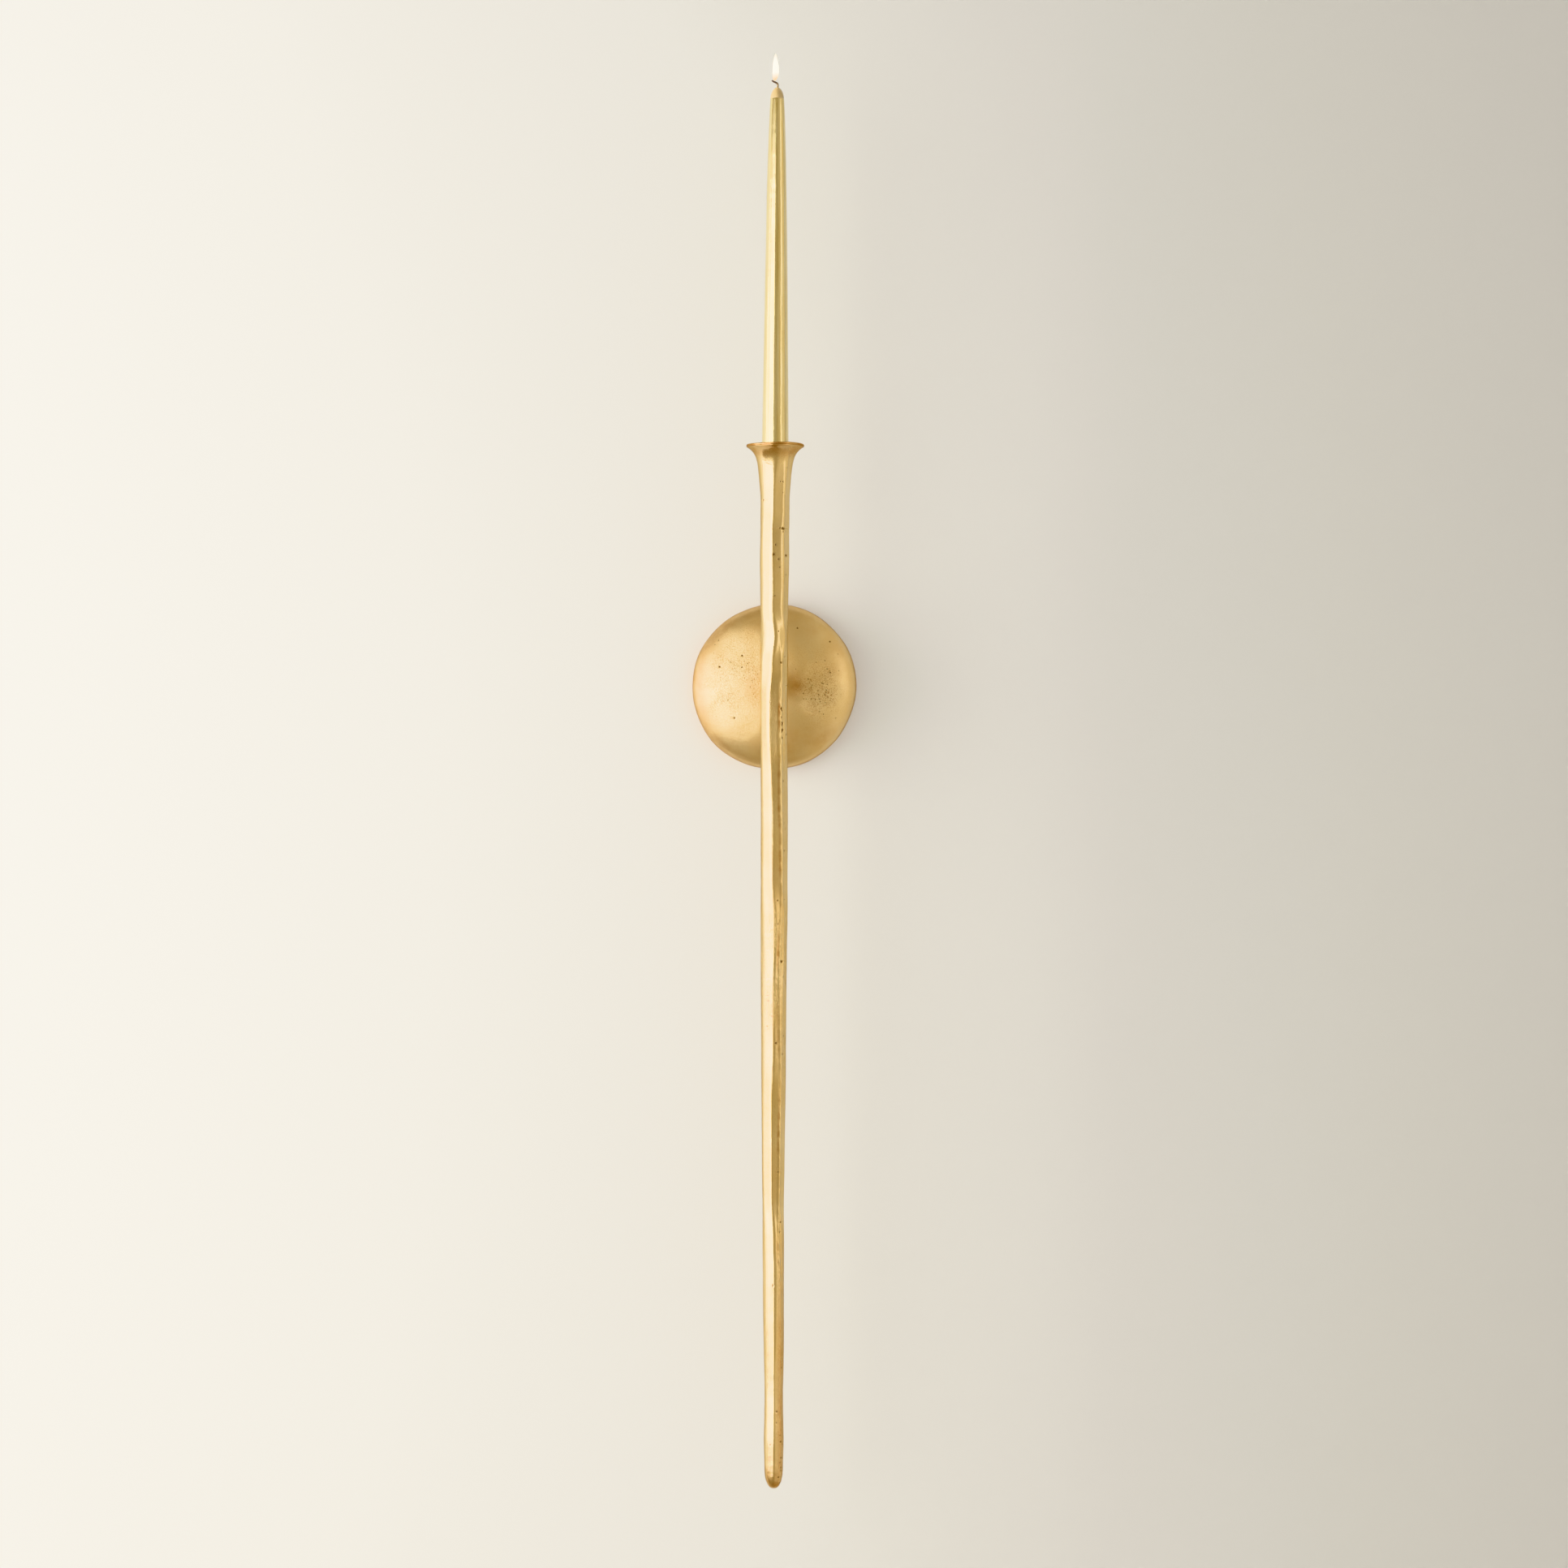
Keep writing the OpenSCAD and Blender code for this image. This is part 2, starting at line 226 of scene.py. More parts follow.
# Radii at the tip and at the knee, as shares of the top's, and how far the tip is slimmed
TIP_SHARE, TIP_SLIMMED = 0.679, 0.05
KNEE_Z, KNEE_SHARE = -0.18, 0.930
# Makes up for what the flats take off the radius
FLAT_ALLOWANCE = 0.00018


def lean_x(height):
    """How far the stem's middle stands to the right at a height."""
    return path(height, LEAN)


def stem_radius(height):
    """The stem's mean radius at a height, without its rounded tip."""
    top = (stem_high[0] - stem_low[0]) / 2
    foot = STEM_TIP + NOSE
    upper = top * (KNEE_SHARE + (1 - KNEE_SHARE) * (height - KNEE_Z) / (STEM_TOP - KNEE_Z))
    slope = (KNEE_SHARE - TIP_SHARE + TIP_SLIMMED) / (KNEE_Z - foot)
    lower = top * (TIP_SHARE - TIP_SLIMMED + slope * (height - foot))
    radius = np.where(height > KNEE_Z, upper, lower)
    for centre, amount, reach in SWELLS:
        radius = radius + amount * np.exp(-((height - centre) / reach) ** 2)
    return radius


def hand_worked(points):
    """The gentle unevenness of hand-finished metal, drawn out along the stem."""
    return 0.00016 * lumps(points * np.array([1, 1, 0.25]), 0.009, 3) + 0.00005 * lumps(points, 0.006, 4)


def unpolished(angle, points):
    """How tarnished the side towards the wall is, with a few cloudy places all round."""
    cloudy = np.maximum(0, lumps(points * np.array([1, 1, 0.25]), 0.014, 13))
    return 0.35 * np.clip(-np.cos(angle), 0, 1) + 0.2 * cloudy


def joint_shown(angle):
    """How much of the groove between stem and cup is left: it is filed away round the left side."""
    return np.clip(turned(angle, math.radians(8)) * 6, 0, 1) * (np.cos(angle) > -0.2)


def flatted(angle, height, radius, strength=1.0):
    """The radius with soft flats that wander along the stem."""
    edge = np.radians(path(height, FRONT_EDGE))
    reach = [np.broadcast_to(1.0, np.broadcast(angle, height).shape)]
    for number, (heading, depth) in enumerate(FLATS):
        aim = edge + math.radians(heading) + FLAT_WANDER * wave(height, 40 + number, 0.23)
        share = depth * (1 + 0.35 * wave(height, 60 + number, 0.19)) * strength
        turn = np.cos(angle - aim)
        reach.append(np.where(turn > 0.5, (1 - share) / np.maximum(turn, 0.5), 2.0))
    total = sum(np.exp(-FLAT_SHARPNESS * r) for r in reach)
    return -np.log(total) / FLAT_SHARPNESS * radius


def random_pits(rng, count, low, high, sizes):
    """Small pits, half of them along the right of the front: the same form as PITS."""
    made = []
    for _ in range(count):
        heading = rng.normal(42, 16) if rng.random() < 0.5 else rng.uniform(-180, 180)
        size = rng.uniform(*sizes)
        made.append((rng.uniform(low, high), heading, size, size * rng.uniform(0.25, 0.45)))
    return made


def pitted(angle, height, radius, pits):
    """Depth of all the pits at each point, and how deep inside a pit it is from 0 to 1."""
    depth = np.zeros(radius.shape)
    inside = np.zeros(radius.shape)
    rows = height[:, 0]
    ragged = 1 + 0.45 * lumps(upright(radius, angle, height, 0.0), 0.0011, 61)
    for at, heading, size, deep in pits:
        near = np.flatnonzero(np.abs(rows - at) < 3 * size)
        if len(near):
            away = np.hypot(turned(angle, math.radians(heading)) * radius[near], height[near] - at)
            away = away * ragged[near]
            depth[near] += deep * crater(away, size)
            inside[near] = np.maximum(inside[near], np.exp(-(away / size) ** 2 * 1.2))
    return depth, inside


def scratched(angle, height, radius, scratches):
    """Depth of thin straight scratches: (height and degrees where each starts, the same where it ends)."""
    depth = np.zeros(radius.shape)
    across = turned(angle, 0.0) * radius
    for z0, heading0, z1, heading1 in scratches:
        x0, x1 = math.radians(heading0) * radius.mean(), math.radians(heading1) * radius.mean()
        long = math.hypot(x1 - x0, z1 - z0)
        along = ((across - x0) * (x1 - x0) + (height - z0) * (z1 - z0)) / long ** 2
        along = np.clip(along, 0, 1)
        away = np.hypot(across - x0 - along * (x1 - x0), height - z0 - along * (z1 - z0))
        depth += 0.00012 * np.exp(-(away / 0.00045) ** 2) * np.sin(math.pi * (0.1 + 0.8 * along))
    return depth


def make_stem():
    """The long cast stem with its rounded tip and, in its top, the stud's hole."""
    around, count, nose_rings = 88, 1056, 26
    body = np.linspace(STEM_TIP + NOSE, STEM_TOP - TOP_BEVEL, count)
    turn = np.linspace(0.06, math.pi / 2, nose_rings, endpoint=False)
    nose = STEM_TIP + NOSE * (1 - np.cos(turn))
    height = np.concatenate([nose, body])[:, None]
    angle = circle_angles(around, 0.35)[None, :]
    radius = flatted(angle, height, stem_radius(height) + FLAT_ALLOWANCE)
    below = np.clip((STEM_TIP + NOSE - height) / NOSE, 0, 1)
    radius = radius * np.power(1 - below ** 2, 0.42)
    seam = np.radians(path(height, SEAM))
    shown = path(height, SEAM_SHOWN) * (1 + 0.5 * wave(height, 5, 0.013))
    radius = radius + SEAM_HEIGHT * shown * np.exp(-(turned(angle, seam) / SEAM_WIDTH) ** 2)
    rng = np.random.default_rng(11)
    pits = PITS + random_pits(rng, 56, STEM_TIP + 0.004, STEM_TOP - 0.030, (0.0005, 0.0008))
    pits += random_pits(rng, 16, STEM_TIP, STEM_TIP + 0.040, (0.0004, 0.0009))
    depth, inside = pitted(angle, height, radius, pits)
    depth = depth + scratched(angle, height, radius, STEM_SCRATCHES)
    points = upright(radius, angle, height, lean_x(height))
    long_lumps = points * np.array([1, 1, 0.25])
    rough = hand_worked(points)
    crinkle = np.clip((STEM_TIP + TIP_CRINKLED - height) / 0.020, 0, 1)
    rough = rough + crinkle * (0.00024 * lumps(points, 0.0046, 9) + 0.00012 * lumps(points, 0.0022, 10))
    radius = radius + rough - depth
    points = upright(radius, angle, height, lean_x(height))
    coarse = path(height, STEM_COARSE) * np.clip(0.7 + 0.5 * lumps(long_lumps, 0.008, 15), 0, 1)
    groove = np.exp(-(turned(angle, seam - math.radians(11)) / math.radians(5)) ** 2) * shown
    groove = groove * np.clip(0.2 + 0.9 * lumps(long_lumps, 0.006, 16), 0, 0.8)
    tip_age_and_right_shade = 0.9 * np.clip((STEM_TIP + TIP_BROWN - height) / 0.026, 0, 1)
    tip_age_and_right_shade = tip_age_and_right_shade * (0.75 + 0.3 * lumps(points, 0.006, 12))
    # Painted shade: the lower stem's right side, away from the lights, is painted brown.
    right_side_shade = np.clip(np.sin(angle) * 2 - 0.2, 0, 1) * path(height, LOWER_RIGHT_SHADE)
    tip_age_and_right_shade = np.maximum(tip_age_and_right_shade, right_side_shade * (0.75 + 0.3 * lumps(long_lumps, 0.005, 17)))
    age_and_shade = np.maximum(tip_age_and_right_shade, unpolished(angle, points))
    age_and_shade = np.maximum(age_and_shade, groove)
    edge = radius[-1] - TOP_BEVEL * joint_shown(angle)
    inner = [(edge, STEM_TOP - JOINT_EDGE), (edge, STEM_TOP), (0 * edge + BORE_R, STEM_TOP),
             (0 * edge + BORE_R, stud_low[2])]
    centre = lean_x(np.array(STEM_TOP))
    lids = [upright(r, angle, np.full((1, 1), z), centre) for r, z in inner]
    none = np.zeros((len(lids), around))
    return skin("stem_casting", np.concatenate([points] + [lid.reshape(1, around, 3) for lid in lids]),
                {"pit": np.concatenate([inside, none]),
                 "age_and_shade": np.concatenate([age_and_shade, none + 0.3 * joint_shown(angle)]),
                 "coarse": np.concatenate([coarse, none])})


# ---------------------------------------------------------------- the cup's shape

# The cup's outside swells slowly towards the rim and flares just under it: amounts and reaches
SWELL, SWELL_H = 0.0034, 0.042
FLARE, FLARE_FALL = 0.013, 0.0049
# Thickness of the rim's lip, and depth of the groove at the cup's foot
LIP, FOOT_GROOVE = 0.0021, 0.0003
DISH_H, SOCKET_R, SOCKET_DEPTH = 0.0085, 0.0111, RIM_Z - WAX_FOOT
CUP_SCRATCHES = [(0.1765, -42, 0.1735, -8), (0.1785, -50, 0.1772, -34), (0.1468, -62, 0.1472, -30)]


def rim_wobble(angle):
    """How far the hand-finished rim is out of round."""
    return 0.0004 * np.sin(2 * angle + 0.7) + 0.00025 * np.sin(3 * angle + 2) + 0.0001 * np.sin(7 * angle)


def rim_droop(angle):
    """How far the rim rises and falls round the cup."""
    return 0.0003 * np.sin(angle + 1.0) + 0.0002 * np.sin(3 * angle)


def flare_radius(below):
    """The cup's outside radius at a depth below its rim."""
    neck = stem_radius(np.array(STEM_TOP))
    return neck + SWELL * np.maximum(0, 1 - below / SWELL_H) + FLARE * np.exp(-below / FLARE_FALL)


def make_cup():
    """The flared cup: neck, flare, lip, drip dish, candle socket and the stud's hole."""
    around = 200
    angle = circle_angles(around)[None, :]
    foot = RIM_Z - STEM_TOP
    lowest = foot - np.array([0, JOINT_EDGE, 0.0003, 0.0006, 0.0009, 0.0012])
    below = np.concatenate([lowest, np.linspace(foot - 0.0018, LIP, 170)])[:, None]
    height = RIM_Z - below
    keep = np.clip((below - 0.004) / 0.03, 0, 1)
    round_part = np.minimum(flare_radius(below), RIM_R) + FLAT_ALLOWANCE * keep
    radius = flatted(angle, height, round_part, keep * 0.98 + 0.02)
    rng = np.random.default_rng(23)
    pits = [pit for pit in PITS if pit[0] > STEM_TOP - 0.001]
    pits += random_pits(rng, 7, STEM_TOP + 0.006, RIM_Z - 0.012, (0.0004, 0.0006))
    depth, inside = pitted(angle, height, radius, pits)
    depth = depth + scratched(angle, height, radius, CUP_SCRATCHES)
    points = upright(radius, angle, height, lean_x(height))
    rough = hand_worked(points) * np.clip(below / 0.02, 0.4, 1)
    joint_line = 0.00022 * np.exp(-((foot - below) / 0.0005) ** 2) * joint_shown(angle)
    near_rim = np.exp(-below / 0.006)
    radius = radius + rough - depth - joint_line + rim_wobble(angle) * near_rim
    height = height + rim_droop(angle) * near_rim
    rings = [upright(radius, angle, height, lean_x(height))]
    shade = [inside]
    # Painted shade: under darkens the flare's underside just below the lip, and the brown right at the rim is
    # tarnish.
    under = np.exp(-((below - 0.0065) / 0.0045) ** 2) * 0.55
    rim_age_and_shade = under + 0.15 * lumps(points, 0.006, 14) * near_rim + 0.3 * near_rim
    brown_age_and_shade = [np.clip(np.maximum(rim_age_and_shade, unpolished(angle, points)), 0, 1)]

    def add(r, z, rim_share, old, dark=0.0):
        """One more ring: how far it follows the rim's wobble, how tarnished it is and how dark."""
        rings.append(upright(r + rim_wobble(angle) * rim_share, angle, z + rim_droop(angle) * rim_share,
                             lean_x(np.array(RIM_Z))))
        shade.append(np.full((1, around), dark))
        brown_age_and_shade.append(np.full((1, around), old))

    for turn in np.linspace(0, math.pi, 14)[1:-1]:
        add(RIM_R - 0.0009 + 0.0009 * math.sin(turn), RIM_Z - LIP / 2 - LIP / 2 * math.cos(turn), 0.8,
            0.95 if turn < 2 else 0.35)
    for inside_by in np.linspace(0.0003, DISH_H, 22):
        r = flare_radius(np.array(inside_by + 0.0024)) - 0.0008
        add(min(float(r), RIM_R - 0.0012), RIM_Z - inside_by, math.exp(-inside_by / 0.004), 0.35)
    for turn in np.linspace(0, math.pi / 2, 6):
        add(SOCKET_R + 0.0006 * (1 - math.sin(turn)), RIM_Z - DISH_H - 0.0006 * (1 - math.cos(turn)), 0, 0.6)
    for share in np.linspace(0.1, 1, 8):
        add(SOCKET_R, RIM_Z - DISH_H - 0.0006 - share * (SOCKET_DEPTH - DISH_H - 0.0006), 0, 0.7, 0.2)
    edge = radius[0] - JOINT_EDGE - FOOT_GROOVE * joint_shown(angle)
    start = [(0 * edge + BORE_R, stud_high[2]), (0 * edge + BORE_R, STEM_TOP), (edge, STEM_TOP)]
    lids = [upright(r, angle, np.full((1, 1), z), lean_x(np.array(STEM_TOP))) for r, z in start]
    none = np.zeros((len(lids), around))
    return skin("cup_casting", np.concatenate(lids + rings),
                {"pit": np.concatenate([none] + shade),
                 "age_and_shade": np.concatenate([none + 0.3 * joint_shown(angle)] + brown_age_and_shade),
                 "coarse": np.zeros((len(lids) + sum(len(part) for part in shade), around))})


# ---------------------------------------------------------------- the backplate's shape

# Height of the straight skirt, thickness of the wall and radius of the bolt's hole
SKIRT, SHELL, BOLT_HOLE_R = 0.009, 0.003, 0.0033
# Radius of the flat crown, and the boss inside: its radius and its face's distance from the wall
CROWN_R, BOSS_R, BOSS_FACE = 0.0095, 0.012, 0.025
# Patches of coarse casting skin on the dome: (to the right, up, half width, half height, strength)
PATCHES = [(-0.036, 0.002, 0.022, 0.036, 1.0), (-0.020, 0.010, 0.018, 0.034, 0.8),
           (0.036, -0.002, 0.019, 0.024, 1.0), (-0.024, -0.028, 0.018, 0.014, 0.6),
           (0.028, 0.022, 0.016, 0.012, 0.35)]
# Browner areas of painted shade, in the same form: the post's shadow on either side of the stem and darker
# reflections round the dome's edge
PAINTED_SHADE_AREAS = [(0.0165, 0.001, 0.0065, 0.0085, 0.85), (0.032, -0.042, 0.020, 0.012, 0.5),
               (0.004, -0.052, 0.022, 0.009, 0.4), (0.022, 0.050, 0.026, 0.012, 0.25),
               (-0.022, 0.052, 0.024, 0.010, 0.3), (-0.050, 0.026, 0.010, 0.016, 0.3),
               (0.050, 0.026, 0.012, 0.018, 0.3), (-0.030, -0.046, 0.024, 0.010, 0.4),
               (-0.016, 0.0, 0.008, 0.016, 0.4)]
# Pits that stand out on the dome: (to the right, up, size, depth)
DOME_PITS = [(-0.0445, 0.016, 0.0010, 0.0006), (-0.026, 0.0250, 0.0009, 0.0005),
             (-0.0325, -0.0262, 0.0010, 0.0005), (0.0455, 0.0365, 0.0008, 0.0004),
             (-0.0262, 0.0155, 0.0007, 0.0004), (-0.0375, -0.0115, 0.0007, 0.0004),
             (-0.0362, -0.0062, 0.0006, 0.0003), (0.0190, 0.0475, 0.0009, 0.0003)]


def facing(radius, angle, out):
    """Points round the dome's axis: angle runs from the top to the right, out is towards the front."""
    return np.stack([radius * np.sin(angle), -out, radius * np.cos(angle)], -1)


def area_strength(flat, areas, sharp):
    """How strongly each point belongs to the patch that covers it most."""
    share = np.zeros(flat.shape[:-1])
    for x, z, wide, high, strength in areas:
        away = ((flat[..., 0] - x) / wide) ** 2 + ((flat[..., 2] - z) / high) ** 2
        share = np.maximum(share, strength * np.exp(-away ** sharp * 0.8))
    return share


def dome_face():
    """Radius and height off the wall of each ring on the dome's outside, from the wall to the bolt's hole."""
    tilt = np.linspace(0, 1, 150)
    end = math.acos(CROWN_R / DOME_R)
    curve = np.sin(end * tilt) / math.sin(end)
    skirt = [(DOME_R - 0.0006, 0.0), (DOME_R, 0.0006), (DOME_R, 0.0025), (DOME_R, 0.0045), (DOME_R, 0.0065)]
    crown = [(0.0075, DOME_H), (0.0055, DOME_H), (BOLT_HOLE_R, DOME_H)]
    face = list(zip(DOME_R * np.cos(end * tilt), SKIRT + (DOME_H - SKIRT) * curve))
    return np.array(skirt + face + crown)


def dome_back():
    """The same for the inside, from the bolt's hole over the boss and down the hollow to the wall."""
    rings = [(BOLT_HOLE_R, BOSS_FACE), (0.006, BOSS_FACE), (BOSS_R - 0.0006, BOSS_FACE),
             (BOSS_R, BOSS_FACE + 0.0006)]
    inner_r, inner_h = DOME_R - SHELL, DOME_H - SHELL
    stop = math.acos(BOSS_R / inner_r)
    for share in np.linspace(1, 0, 40):
        rise = math.sin(stop * share) / math.sin(stop)
        rings.append((inner_r * math.cos(stop * share), SKIRT + (inner_h - SKIRT) * rise))
    rings += [(inner_r, 0.006), (inner_r, 0.003), (inner_r, 0.0006), (inner_r + 0.0006, 0.0)]
    return np.array(rings)


def make_dome():
    """The hollow cast dome with a textured face, a straight skirt and a boss for the bolt."""
    around = 400
    angle = circle_angles(around)[None, :]
    radius, out = [column[:, None] + 0 * angle for column in dome_face().T]
    uneven = 0.0004 * np.sin(2 * angle + 0.4) + 0.00025 * np.sin(5 * angle + 1)
    uneven = uneven + 0.00012 * np.sin(11 * angle + 2)
    radius = radius + uneven * np.clip((radius - 0.03) / 0.03, 0, 1)
    flat = facing(radius, angle, out)
    ragged = np.clip(0.8 + 0.4 * lumps(flat, 0.011, 71) + 0.3 * lumps(flat, 0.005, 72), 0, 1)
    coarse = area_strength(flat, PATCHES, 1.5) * ragged
    # Painted shade: the post's shadow beside the stem and darker reflections round the dome, mixed in with
    # tarnish.
    age_and_shade = area_strength(flat, PAINTED_SHADE_AREAS, 1.0) * np.clip(0.75 + 0.4 * lumps(flat, 0.012, 73), 0, 1)
    # A darker band round the rim, strongest on the left: rim patina with painted shade.
    rim_shade_band = 0.35 * np.clip((0.0225 - out) / 0.005, 0, 1) * np.clip(0.9 - 0.6 * np.sin(angle), 0, 1.5)
    # Painted contact shadow at the dome's edge, where it meets the wall.
    outline = 0.85 * np.clip((0.0140 - out) / 0.004, 0, 1)
    age_and_shade = np.maximum(age_and_shade, np.maximum(rim_shade_band, outline))
    rng = np.random.default_rng(31)
    pits = list(DOME_PITS)
    for _ in range(60):
        x, z, wide, high, _ = PATCHES[rng.choice(3, p=(0.45, 0.2, 0.35))]
        size = rng.uniform(0.0004, 0.0006)
        pits.append((rng.normal(x, wide * 0.5), rng.normal(z, high * 0.5), size, size * 0.25))
    inside, depth = np.zeros(radius.shape), np.zeros(radius.shape)
    for x, z, size, deep in pits:
        away = np.hypot(flat[..., 0] - x, flat[..., 2] - z)
        near = (away < 3 * size) & (out > SKIRT)
        depth[near] += deep * crater(away[near], size)
        inside[near] = np.maximum(inside[near], np.exp(-(away[near] / size) ** 2 * 1.2))
    broad = 0.00040 * lumps(flat, 0.028, 51) + 0.00010 * lumps(flat, 0.012, 52)
    grain = coarse * (0.00006 * lumps(flat, 0.0030, 53) + 0.00004 * lumps(flat, 0.0017, 54))
    calm = np.clip((out - 0.002) / 0.010, 0, 1) * np.clip((radius - POST_R) / 0.004, 0, 1)
    points = facing(radius, angle, out + calm * (broad + grain - depth))
    back_r, back_out = [column[:, None] + 0 * angle for column in dome_back().T]
    back = np.zeros(back_r.shape)
    return skin("backplate_casting", np.concatenate([points, facing(back_r, angle, back_out)]),
                {"pit": np.concatenate([inside, back]), "coarse": np.concatenate([coarse, back + 0.5]),
                 "age_and_shade": np.concatenate([age_and_shade, back + 0.45])}, loop=True)


def make_post():
    """The short post: a root fillet on the dome, a slightly uneven shank and a saddle end."""
    around = 120
    angle = circle_angles(around)[None, :]
    saddle_r = stem_radius(np.array(0.0)) - 0.0001
    share = np.linspace(0, 1, 60)[:, None]
    start = DOME_H - 0.0001
    radius = POST_R + 0.0012 * np.exp(-share / 0.02) + 0.0005 * np.exp(-(1 - share) / 0.03)
    radius = radius + np.zeros_like(angle)
    radius = radius * (1 + 0.006 * np.sin(2 * angle + 3 * share) + 0.004 * np.sin(3 * angle - 2 * share))
    finish = -STEM_Y - np.sqrt(saddle_r ** 2 - (np.minimum(radius, saddle_r * 0.93) * np.sin(angle)) ** 2)
    out = start + (finish - start) * share
    points = facing(radius, angle, out)
    radius = radius + 0.0001 * lumps(points, 0.008, 81) + 0.00005 * lumps(points, 0.0025, 82)
    rings = [facing(radius, angle, out)]
    bore = np.full((1, around), BOLT_HOLE_R)
    bore_end = -STEM_Y - np.sqrt(saddle_r ** 2 - (bore * np.sin(angle)) ** 2)
    for part in np.linspace(1, 0, 8):
        rings.append(facing(bore, angle, start + (bore_end - start) * part))
    rings = np.concatenate(rings)
    age_and_shade = 0.35 + np.zeros(rings.shape[:2])
    return skin("post_casting", rings, {"pit": age_and_shade * 0, "coarse": age_and_shade * 0, "age_and_shade": age_and_shade}, loop=True)


# ---------------------------------------------------------------- candle, wick and flame

# How far the candle leans to the right for each metre up
CANDLE_LEAN = 0.0058
# Height of the bare cone, its radius at the top, and how much the candle narrows below it
CONE_H, CONE_TOP_R, TAPER, SHOULDER = 0.009, 0.0013, 0.0037, 0.0015
COAT_TOP = WAX_TOP - CONE_H
WICK_R = 0.00072
# How deep the wick starts in the wax
WICK_SUNK = 0.003


def candle_x(height):
    """How far the candle's middle stands to the right at a height."""
    return lean_x(np.array(RIM_Z)) + CANDLE_LEAN * (height - RIM_Z)


def make_candle():
    """The taper: wax with a metallic coat that ends in a crisp edge under a bare cone."""
    around = 128
    angle = circle_angles(around)[None, :]
    body = np.linspace(WAX_FOOT + 0.0006, COAT_TOP, 300)
    t = np.clip((body - RIM_Z) / (COAT_TOP - RIM_Z), 0, 1)
    body_r = WAX_R - TAPER * t - SHOULDER * t ** 8
    cone_u = np.linspace(0.02, 1, 34)
    top_r = body_r[-1] - 0.00018
    cone_z = COAT_TOP + (WAX_TOP - COAT_TOP) * cone_u
    cone_r = CONE_TOP_R + (top_r - CONE_TOP_R) * np.power(np.maximum(1 - cone_u ** 2.1, 0), 0.75)
    height = np.concatenate([[WAX_FOOT, WAX_FOOT + 0.0002], body, [COAT_TOP + 0.00015], cone_z])[:, None]
    radius = np.concatenate([[WAX_R - 0.0006, WAX_R - 0.0002], body_r, [body_r[-1] - 0.00012], cone_r])
    radius = radius[:, None] + np.zeros_like(angle)
    shown = np.clip((height - RIM_Z) / 0.02, 0, 1)
    radius = radius * (1 + shown * (0.006 * np.sin(2 * angle + 14 * height) + 0.003 * np.sin(3 * angle + 2)))
    points = upright(radius, angle, height, candle_x(height))
    stretched = points * np.array([1, 1, 0.12])
    radius = radius + shown * (0.00009 * lumps(stretched, 0.006, 91) + 0.00003 * lumps(points, 0.004, 92))
    bare = (height > COAT_TOP + 0.00005) + np.zeros_like(angle)
    mouth_r = WICK_R + 0.0001
    mouth = [upright(np.full((1, around), r), angle, np.full((1, 1), z), candle_x(z))[0]
             for r, z in ((mouth_r + 0.0002, WAX_TOP - 0.0002), (mouth_r, WAX_TOP - 0.0007),
                          (mouth_r, WAX_TOP - WICK_SUNK))]
    rings = np.concatenate([upright(radius, angle, height, candle_x(height)), np.array(mouth)])
    bare = np.concatenate([bare, np.ones((3, around))])
    return skin("candle_body", rings, {"bare": bare})


def wick_line():
    """The wick's middle line from inside the wax to its curled, burnt end."""
    foot = np.array([candle_x(WAX_TOP - WICK_SUNK), STEM_Y, WAX_TOP - WICK_SUNK])
    turns = [(0.0, 0.0, 0.0), (0.0001, 0, 0.0022), (0.0004, 0.0001, 0.0044), (0.0002, 0.0002, 0.0060),
             (-0.0012, 0.0003, 0.0071), (-0.0030, 0.0003, 0.0079), (-0.0044, 0.0002, 0.0088)]
    return foot + np.array(turns)


def smooth_line(points, count):
    """Many points on a smooth line through a few."""
    points = np.asarray(points, float)
    padded = np.concatenate([[2 * points[0] - points[1]], points, [2 * points[-1] - points[-2]]])
    out = []
    for s in np.linspace(0, len(points) - 1, count):
        k = min(int(s), len(points) - 2)
        t = s - k
        p0, p1, p2, p3 = padded[k:k + 4]
        out.append(0.5 * (2 * p1 + (p2 - p0) * t + (2 * p0 - 5 * p1 + 4 * p2 - p3) * t * t
                          + (3 * p1 - p0 - 3 * p2 + p3) * t ** 3))
    return np.array(out)


def make_wick():
    """Braided cotton that stands out of the wax and curls over where it burns."""
    around, count = 36, 120
    line = smooth_line(wick_line(), count)
    along = np.gradient(line, axis=0)
    along /= np.linalg.norm(along, axis=1, keepdims=True)
    side = np.cross(along, [0.0, 1.0, 0.0])
    side /= np.linalg.norm(side, axis=1, keepdims=True)
    back = np.cross(along, side)
    travelled = np.concatenate([[0], np.cumsum(np.linalg.norm(np.diff(line, axis=0), axis=1))])
    angle = circle_angles(around)[None, :]
    s = travelled[:, None]
    braid = 1 + 0.16 * np.abs(np.sin(1.5 * angle + s * 2600)) - 0.12 * np.abs(np.sin(1.5 * angle - s * 2600))
    thin = 1 - 0.45 * np.clip((s - travelled[-1] * 0.8) / (travelled[-1] * 0.2), 0, 1) ** 2
    radius = WICK_R * braid * thin
    rings = (line[:, None] + radius[..., None] * (np.cos(angle)[..., None] * side[:, None]
                                                  + np.sin(angle)[..., None] * back[:, None]))
    char = np.clip((s / travelled[-1] - 0.35) / 0.3, 0, 1) + np.zeros_like(angle)
    return skin("wick_braid", rings, {"char": char})


FLAME_H, FLAME_R = 0.0212, 0.0030


